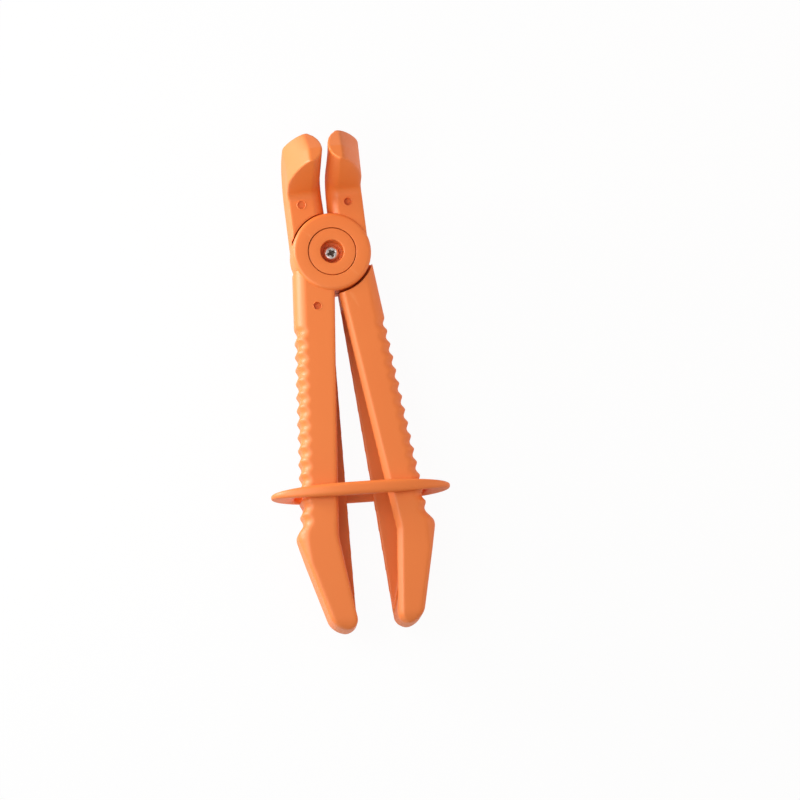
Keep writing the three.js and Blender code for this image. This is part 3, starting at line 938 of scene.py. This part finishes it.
def jaw_section(start, turn, tip, flare):
    """Across and below the front face: rounded outer side, wedge towards the other jaw."""
    ridge = JAW_CLOSED_GAP / 2 + jaw_point(start, turn, tip, 0, RIDGE_DEPTH)[1] * JAW_REST_SLOPE
    share = max(1 - (JAW_TIP_LENGTH - tip) / JAW_TIP_CURVE, 0)
    narrowing = JAW_OUTSIDE - ridge - WEDGE_WIDTH - JAW_TIP_END
    kept = max(1 - share**JAW_TIP_FULLNESS, 0) ** (1 / JAW_TIP_FULLNESS)
    outer = JAW_OUTSIDE - narrowing * (1 - kept)
    edge = min(JAW_ROUND, (outer - ridge - WEDGE_WIDTH) * JAW_ROUND_LIMIT)
    outline = arc((outer - edge, edge), edge, -90, 0, 6)
    outline += [(outer, RIDGE_DEPTH * f) for f in (0.5, 0.75, 1)]
    outline += [(outer, RIDGE_DEPTH + (ARM_DEPTH - RIDGE_DEPTH) * f) for f in (0.25, 0.5)]
    outline += arc((outer - edge, ARM_DEPTH - edge), edge, 0, 90, 6)
    behind, ahead = ARM_DEPTH - RIDGE_DEPTH - WEDGE_FLAT / 2, RIDGE_DEPTH - WEDGE_FLAT / 2
    for f in (0, 0.25, 0.5, 0.75, 1):
        bulge = 4 * f * (1 - f) * WEDGE_BULGE * share
        below = ARM_DEPTH - behind * f + bulge * WEDGE_BULGE_LIFT
        outline.append((ridge + WEDGE_WIDTH * (1 - f) - bulge, below))
    for f in np.linspace(0, 1, 9):
        bulge = 4 * f * (1 - f) * WEDGE_FRONT_BULGE
        across = ridge + WEDGE_WIDTH * f - bulge * WEDGE_FRONT_ACROSS
        outline.append((across, ahead * (1 - f) - bulge * WEDGE_FRONT_UP))
    ring = []
    for across, below in outline:
        in_front = 1 - below / RIDGE_DEPTH
        at_back = (below - RIDGE_DEPTH) / (ARM_DEPTH - RIDGE_DEPTH)
        if in_front > 0:
            widening, shift = flare * in_front * turn / JAW_BEND, JAW_FRONT_RISE * in_front
        else:
            widening, shift = JAW_BACK_FLARE * at_back, -JAW_BACK_DROP * at_back
        across += widening * (across - ridge) / (outer - ridge)
        ring.append(jaw_point(start, turn, tip + shift * share, across, below))
    return ring


def jaw(flare):
    rings = [jaw_section(JAW_BEND_START * f, 0.0, 0.0, flare) for f in (0, 0.5, 0.9, 1)]
    rings += [jaw_section(JAW_BEND_START, JAW_BEND * f, 0.0, flare) for f in spaced(0, 1, 16)]
    tips = [(JAW_TIP_LENGTH - JAW_TIP_CURVE) * f for f in (0.5, 1)]
    turns = np.radians(spaced(0, 90, 24))
    tips += [JAW_TIP_LENGTH - JAW_TIP_CURVE * (1 - math.sin(turn)) for turn in turns]
    rings += [jaw_section(JAW_BEND_START, JAW_BEND, tip, flare) for tip in tips]
    # The points of a section at the ridge's depth: on the outer side and on the ridge itself.
    outer_middle, ridge = 9, 23
    return outward(loft("jaw", rings, middle_of=lambda ring: (ring[outer_middle] + ring[ridge]) / 2))


def half_disc():
    spring_room = SPRING_RADIUS + SPRING_WIRE / 2 + PIECE_GAP
    floor = STACK_HEIGHT - CAP_INSET - CAP_THICKNESS - PIECE_GAP
    return turned(
        "half_disc",
        rounded(
            [
                (DISC_RADIUS, MID + PIECE_GAP / 2, DISC_LAP_ROUND),
                (DISC_RADIUS, STACK_HEIGHT, DISC_EDGE_ROUND),
                (CAP_RADIUS + PIECE_GAP, STACK_HEIGHT, CAP_SEAT_ROUND),
                (CAP_RADIUS + PIECE_GAP, floor, CORNER_ROUND),
                (SHANK_RADIUS + PIECE_GAP, floor, CORNER_ROUND),
                (SHANK_RADIUS + PIECE_GAP, MID + SPRING_ROOM, FINE_ROUND),
                (spring_room, MID + SPRING_ROOM, FINE_ROUND),
                (spring_room, MID + PIECE_GAP / 2, FINE_ROUND),
            ],
            steps=6,
        ),
        steps=192,
    )


def disc_room(low, high):
    """Room for the other arm's disc: close round the jaw, wider round the handle."""
    outline = arc((0, 0), DISC_RADIUS + GRIP_RELIEF, 180, 360, 72)
    outline += arc((0, 0), DISC_RADIUS + JAW_RELIEF, 0, 180, 72)
    return loft("disc_room", [[(x, y, z) for x, y in outline] for z in (low, high)])


def dimple(body, place, depth, rim):
    """The round mark of a mould pin, with a raised burr round it."""
    across, along = place
    section = arc((DIMPLE_RADIUS + rim, FACE_FRONT - DIMPLE_RIM_SINK), rim, 0, 360 - 36, 9)
    rings = []
    for turn in full_turn(40):
        rings.append([(across + r * math.cos(turn), along + r * math.sin(turn), z) for r, z in section])
    combined(body, outward(loft("dimple_burr", rings, closed=True)), "UNION")
    drill = rod("drill", DIMPLE_RADIUS, FACE_FRONT - depth, STACK_HEIGHT, 48)
    drill.data.transform(Matrix.Translation((across, along, 0)))
    combined(body, drill, "DIFFERENCE")


def joined(objects):
    """Several objects' meshes in the first of them."""
    first = objects[0]
    chosen = {"active_object": first, "selected_editable_objects": objects, "selected_objects": objects}
    with bpy.context.temp_override(**chosen):
        bpy.ops.object.join()
    return first


def arm(name, front):
    """One moulding of handle, half disc and jaw; its disc is the front one where front is true."""
    handle = notched(grip(FRONT_ARM_EDGE_CUT if front else INNER_EDGE_CUT))
    combined(handle, channel(), "DIFFERENCE")
    bent_jaw = jaw(FRONT_ARM_JAW_FLARE if front else REAR_ARM_JAW_FLARE)
    mirror(handle if front else bent_jaw)
    body = joined([handle, bent_jaw])
    body.name = name
    skinned(body, SKIN_VOXEL, FIRST_SMOOTHING)
    other_disc = (ARM_CUT_LOW, MID + PIECE_GAP) if front else (MID - PIECE_GAP, ARM_CUT_HIGH)
    combined(body, disc_room(*other_disc), "DIFFERENCE")
    combined(body, rod("hub_room", DISC_RADIUS - HUB_ROOM_INSET, ARM_CUT_LOW, ARM_CUT_HIGH), "DIFFERENCE")
    skinned(body, SKIN_VOXEL, SKIN_SMOOTHING)
    thinned(body, SKIN_KEPT)
    if front:
        for place in (FRONT_ARM_JAW_DIMPLE, FRONT_ARM_GRIP_DIMPLE):
            dimple(body, place, FRONT_ARM_DIMPLE_DEPTH, FRONT_ARM_DIMPLE_RIM)
    else:
        dimple(body, REAR_ARM_JAW_DIMPLE, REAR_ARM_DIMPLE_DEPTH, REAR_ARM_DIMPLE_RIM)
    disc = half_disc()
    if not front:
        flipped_over(disc)
    combined(body, disc, "UNION")
    leg_room = SPRING_RADIUS + SPRING_LEG + PIECE_GAP
    swing = leg_room * math.sin(SPRING_LEG_SWING) + SPRING_WIRE / 2 + PIECE_GAP
    slot = block(
        "leg_slot",
        (0, -swing, MID - SPRING_ROOM),
        (leg_room, swing, MID + SPRING_ROOM),
        math.pi if front else 0.0,
    )
    combined(body, slot, "DIFFERENCE")
    return body


NOTCHES = notch_tree()

front_arm = arm("front_arm_moulding", front=True)
rear_arm = arm("rear_arm_moulding", front=False)
finished(front_arm, orange_plastic, "front_arm_body", ["front_arm"])
finished(rear_arm, orange_plastic, "rear_arm_body", ["rear_arm"])


# ---------------------------------------------------------------- hub


def front_plug():
    top = STACK_HEIGHT - CAP_INSET
    return turned(
        "front_hub_plug",
        rounded(
            [
                (SCREW_HOLE_RADIUS, MID, FINE_ROUND),
                (SHANK_RADIUS, MID, CORNER_ROUND),
                (SHANK_RADIUS, top - CAP_THICKNESS, CORNER_ROUND),
                (CAP_RADIUS, top - CAP_THICKNESS, CORNER_ROUND),
                (CAP_RADIUS, top, CAP_EDGE_ROUND),
                (COUNTERBORE_RADIUS, top, COUNTERBORE_EDGE_ROUND),
                (COUNTERBORE_RADIUS, SCREW_SEAT, COUNTERBORE_FLOOR_ROUND),
                (SCREW_HOLE_RADIUS, SCREW_SEAT, FINE_ROUND),
            ],
            steps=5,
        ),
        steps=160,
    )


def closed_turning(name, outline, steps):
    """An outline of (radius, height) that starts and ends on the axis, turned about it."""
    points = [(0, 0, outline[0][1]), (0, 0, outline[-1][1])]
    faces = []
    for turn in full_turn(steps):
        points += [(r * math.cos(turn), r * math.sin(turn), z) for r, z in outline[1:-1]]
    size = len(outline) - 2
    for i in range(steps):
        here, there = 2 + i * size, 2 + ((i + 1) % steps) * size
        faces.append((0, there, here))
        faces.append((1, here + size - 1, there + size - 1))
        for j in range(size - 1):
            faces.append((here + j, there + j, there + j + 1, here + j + 1))
    return outward(mesh_object(name, points, faces))


def hexagon(name, across_flats, low, high):
    return rod(name, across_flats / math.sqrt(3), low, high, 6)


def rear_plug():
    outline = rounded(
        [
            (0, 0, 0),
            (CAP_RADIUS, 0, CORNER_ROUND),
            (CAP_RADIUS, CAP_THICKNESS, CORNER_ROUND),
            (SHANK_RADIUS, CAP_THICKNESS, CORNER_ROUND),
            (SHANK_RADIUS, MID, CORNER_ROUND),
            (0, MID, 0),
        ],
        steps=5,
    )
    plug = closed_turning("rear_hub_plug", outline, 160)
    well = rod("well", SCREW_HOLE_RADIUS, SCREW_SEAT - SCREW_LENGTH - PIECE_GAP, HUB_CUT_HIGH, 64)
    combined(plug, well, "DIFFERENCE")
    pocket = hexagon("pocket", NUT_ACROSS_FLATS + PIECE_GAP, MID - NUT_HEIGHT - PIECE_GAP, HUB_CUT_HIGH)
    return combined(plug, pocket, "DIFFERENCE")


def thread():
    """A rolled thread that starts a little thinner at the screw's end."""
    steps_around, steps_per_pitch = 48, 10
    low = SCREW_SEAT - SCREW_LENGTH
    rows = int(SCREW_LENGTH / THREAD_PITCH * steps_per_pitch)
    rings = []
    for row in range(rows + 1):
        height = low + (SCREW_LENGTH + THREAD_OVERLAP) * row / rows
        lead = min(THREAD_POINT_SHARE + min((height - low) / THREAD_LEAD, 1) * THREAD_LEAD_SHARE, 1)
        ring = []
        for turn in full_turn(steps_around):
            phase = ((height - low) / THREAD_PITCH - turn / (2 * math.pi)) % 1
            flank = max(1 - abs(2 * phase - 1) * THREAD_STEEPNESS, 0)
            radius = (SCREW_CORE_RADIUS + THREAD_DEPTH * min(flank * THREAD_CREST, 1)) * lead
            ring.append((radius * math.cos(turn), radius * math.sin(turn), height))
        rings.append(ring)
    return outward(loft("thread", rings))


def screw():
    """Pan head screw with a cross recess and a rolled thread."""
    head_top = SCREW_SEAT + SCREW_HEAD_HEIGHT
    crown = [
        (0, SCREW_SEAT - SCREW_NECK, 0),
        (SCREW_CORE_RADIUS, SCREW_SEAT - SCREW_NECK, 0),
        (SCREW_CORE_RADIUS, SCREW_SEAT, 0),
        (SCREW_HEAD_RADIUS, SCREW_SEAT, SCREW_HEAD_FOOT_ROUND),
        (SCREW_HEAD_RADIUS, head_top - SCREW_HEAD_DROP, SCREW_HEAD_SIDE_ROUND),
        (SCREW_HEAD_FLAT, head_top, SCREW_HEAD_TOP_ROUND),
        (0, head_top, 0),
    ]
    head = closed_turning("pan_head_screw", rounded(crown, steps=7), 96)
    for quarter in (0, math.pi / 2):
        slot = block(
            "recess",
            (-RECESS_SPAN / 2, -RECESS_WIDTH / 2, head_top - RECESS_DEPTH),
            (RECESS_SPAN / 2, RECESS_WIDTH / 2, head_top + RECESS_CLEAR),
            quarter + RECESS_TURN,
        )
        combined(head, slot, "DIFFERENCE")
    cone = [
        (0, head_top - RECESS_CONE_DEPTH),
        (RECESS_CONE_TIP, head_top - RECESS_CONE_DEPTH),
        (RECESS_CONE_MOUTH, head_top + RECESS_CONE_RISE),
        (RECESS_CONE_MOUTH, head_top + RECESS_CLEAR),
        (0, head_top + RECESS_CLEAR),
    ]
    combined(head, closed_turning("recess_centre", cone, 32), "DIFFERENCE")
    skinned(head, SCREW_VOXEL, SCREW_SMOOTHING)
    return combined(head, thread(), "UNION")


def nut():
    """Hexagon nut with both faces chamfered."""
    blank = hexagon("hexagon_nut", NUT_ACROSS_FLATS, MID - NUT_HEIGHT, MID)
    face_radius = NUT_CORNER_RADIUS - NUT_CHAMFER * NUT_CHAMFER_REACH
    barrel = [
        (0, MID - NUT_HEIGHT),
        (face_radius, MID - NUT_HEIGHT),
        (NUT_CORNER_RADIUS + NUT_CORNER_CLEAR, MID - NUT_HEIGHT + NUT_CHAMFER),
        (NUT_CORNER_RADIUS + NUT_CORNER_CLEAR, MID - NUT_CHAMFER),
        (face_radius, MID),
        (0, MID),
    ]
    combined(blank, closed_turning("barrel", barrel, 96), "INTERSECT")
    return combined(blank, rod("thread_hole", SCREW_HOLE_RADIUS, 0, HUB_CUT_HIGH, 48), "DIFFERENCE")


finished(front_plug(), orange_plastic, "hub", ["pivot_plug_front"], math.radians(50))
finished(rear_plug(), orange_plastic, "hub", ["pivot_plug_rear"], math.radians(50))
finished(screw(), screw_steel, "hub", ["pivot_screw"], math.radians(60))
finished(nut(), screw_steel, "hub", ["hex_nut"], math.radians(25))

spring = spring_tree().run(
    mesh_object("torsion_spring", [(0, 0, 0)], []),
    {
        "Radius": SPRING_RADIUS,
        "Height": SPRING_HEIGHT,
        "Turns": SPRING_TURNS,
        "Wire": SPRING_WIRE,
        "Leg": SPRING_LEG,
    },
    spring_steel,
)
spring.data.transform(Matrix.Translation((0, 0, MID)))
finished(outward(spring), spring_steel, "hub", ["opening_spring"])

# ---------------------------------------------------------------- ring

ring = ring_tree().run(
    mesh_object("oblong_ring", [(0, 0, 0)], []),
    {
        "Half Length": RING_HALF_LENGTH,
        "Half Height": RING_HALF_HEIGHT,
        "End Rim": RING_END_RIM,
        "Side Rim": RING_SIDE_RIM,
        "Thickness": RING_THICKNESS,
        "End Thickness": RING_END_THICKNESS,
    },
    orange_plastic,
)
ring.data.transform(Matrix.Translation((0, -RING_DISTANCE, MID)) @ Matrix.Rotation(-RING_TILT, 4, "Z"))
finished(outward(ring), orange_plastic, "ring_body", ["locking_ring"])

# ---------------------------------------------------------------- camera

# The view was fitted to points of the photograph, whose frame is 800 pixels wide and high.
VIEW_YAW = math.radians(6.31)
VIEW_PITCH = math.radians(9.06)
VIEW_ROLL = math.radians(7.34)
PIXELS_PER_METRE = 2850.0
PIVOT_PIXEL = (332.2, 251.1)
CAMERA_DISTANCE = 3.0
CAMERA_REACH = 20.0
FRAME_PIXELS = 800
SENSOR = 36.0

yaw_sine, yaw_cosine = math.sin(VIEW_YAW), math.cos(VIEW_YAW)
pitch_sine, pitch_cosine = math.sin(VIEW_PITCH), math.cos(VIEW_PITCH)
roll_sine, roll_cosine = math.sin(VIEW_ROLL), math.cos(VIEW_ROLL)
level_right = Vector((yaw_cosine, 0, yaw_sine))
level_up = Vector((-yaw_sine * pitch_sine, pitch_cosine, yaw_cosine * pitch_sine))
towards = Vector((-yaw_sine * pitch_cosine, -pitch_sine, yaw_cosine * pitch_cosine))
right = level_right * roll_cosine - level_up * roll_sine
up = level_right * roll_sine + level_up * roll_cosine

pivot = Vector((0, 0, STACK_HEIGHT * MILLIMETRE))
centre_shift = (FRAME_PIXELS / 2 - PIVOT_PIXEL[0], PIVOT_PIXEL[1] - FRAME_PIXELS / 2)
aim = pivot + (right * centre_shift[0] + up * centre_shift[1]) / PIXELS_PER_METRE

camera = bpy.data.objects.new("camera", bpy.data.cameras.new("camera"))
bpy.context.scene.collection.objects.link(camera)
camera.matrix_world = Matrix.Translation(aim + towards * CAMERA_DISTANCE) @ Matrix(
    (right, up, towards)
).transposed().to_4x4()
camera.data.sensor_width = SENSOR
camera.data.sensor_fit = "HORIZONTAL"
camera.data.lens = PIXELS_PER_METRE * CAMERA_DISTANCE / FRAME_PIXELS * SENSOR
camera.data.clip_end = CAMERA_REACH
bpy.context.scene.camera = camera

# ---------------------------------------------------------------- floor, lamps and world

LAMP_TARGET = Vector((0, 0.02, 0.012))


def area_lamp(name, place, distance, size, power, colour=(1, 1, 1)):
    """A square soft lamp aimed at the jaws, placed by the picture's own left, up and towards the camera."""
    from_left, from_top, from_camera = place
    lamp = bpy.data.lights.new(name, "AREA")
    lamp.shape = "SQUARE"
    lamp.size = size
    lamp.energy = power
    lamp.color = colour
    obj = bpy.data.objects.new(name, lamp)
    bpy.context.scene.collection.objects.link(obj)
    way = (right * -from_left + up * from_top + towards * from_camera).normalized()
    obj.location = LAMP_TARGET + way * distance
    obj.rotation_euler = (-way).to_track_quat("-Z", "Y").to_euler()


area_lamp("front_fill", (0.5, -0.15, 0.85), distance=0.27, size=0.2, power=0.36)
area_lamp("right_fill", (-0.85, 0.1, 0.25), distance=0.6, size=0.5, power=1.5, colour=(1.0, 0.62, 0.4))
area_lamp("side_strip", (0.92, 0.27, 0.15), distance=0.6, size=0.22, power=4.7)

# The clamp is lit more strongly from the left, while the camera sees an even white all round.
SKY_FROM_LEFT = 0.58
SKY_FROM_RIGHT = 0.26

world = bpy.data.worlds.new("studio")
bpy.context.scene.world = world
world.use_nodes = True
world.node_tree.nodes.clear()
sky = ShaderTree(world.node_tree)
path = sky.node("ShaderNodeLightPath")
seen = sky.math("MAXIMUM", path.outputs["Is Camera Ray"], path.outputs["Is Transmission Ray"])
heading = sky.node("ShaderNodeSeparateXYZ", {"Vector": sky.node("ShaderNodeTexCoord").outputs["Generated"]})
lit_strength = sky.spread(heading.outputs["X"], -1.0, 1.0, SKY_FROM_LEFT, SKY_FROM_RIGHT)
strength = sky.spread(seen, 0.0, 1.0, lit_strength, 1.0)
background = sky.node("ShaderNodeBackground", {"Color": (1, 1, 1, 1), "Strength": strength})
sky.node("ShaderNodeOutputWorld", {"Surface": background.outputs[0]})

# The sheet of paper glows as the camera sees it, and less so in the light that it gives the clamp:
# the share of its glow falls from the clamp's left side to its right.
FLOOR_GAP = 0.0003
FLOOR_HALF = 2.5
GLOW_SEEN = 0.95
GLOW_LEFT = 0.7
GLOW_RIGHT = 0.15
GLOW_LEFT_END = -0.07
GLOW_RIGHT_END = 0.04

floor_height = cad_box[0][2] - FLOOR_GAP
floor = mesh_object(
    "floor",
    [(x * FLOOR_HALF, y * FLOOR_HALF, floor_height) for x, y in ((-1, -1), (1, -1), (1, 1), (-1, 1))],
    [(0, 1, 2, 3)],
)
paper = bpy.data.materials.new("white_paper")
paper.use_nodes = True
paper.node_tree.nodes.clear()
sheet = ShaderTree(paper.node_tree)
seen = sheet.node("ShaderNodeLightPath").outputs["Is Camera Ray"]
plain = sheet.node("ShaderNodeBsdfDiffuse", {"Color": (0.9, 0.9, 0.9, 1)})
glow = sheet.node("ShaderNodeEmission", {"Color": (1, 1, 1, 1), "Strength": 1.0})
position = sheet.node("ShaderNodeNewGeometry").outputs["Position"]
place = sheet.node("ShaderNodeSeparateXYZ", {"Vector": position})
lit_share = sheet.spread(place.outputs["X"], GLOW_LEFT_END, GLOW_RIGHT_END, GLOW_LEFT, GLOW_RIGHT)
glow_share = sheet.spread(seen, 0.0, 1.0, lit_share, GLOW_SEEN)
shown = sheet.node("ShaderNodeMixShader", {0: glow_share, 1: plain.outputs[0], 2: glow.outputs[0]})
sheet.node("ShaderNodeOutputMaterial", {"Surface": shown.outputs[0]})
floor.data.materials.append(paper)

bpy.context.scene.view_settings.view_transform = "Standard"
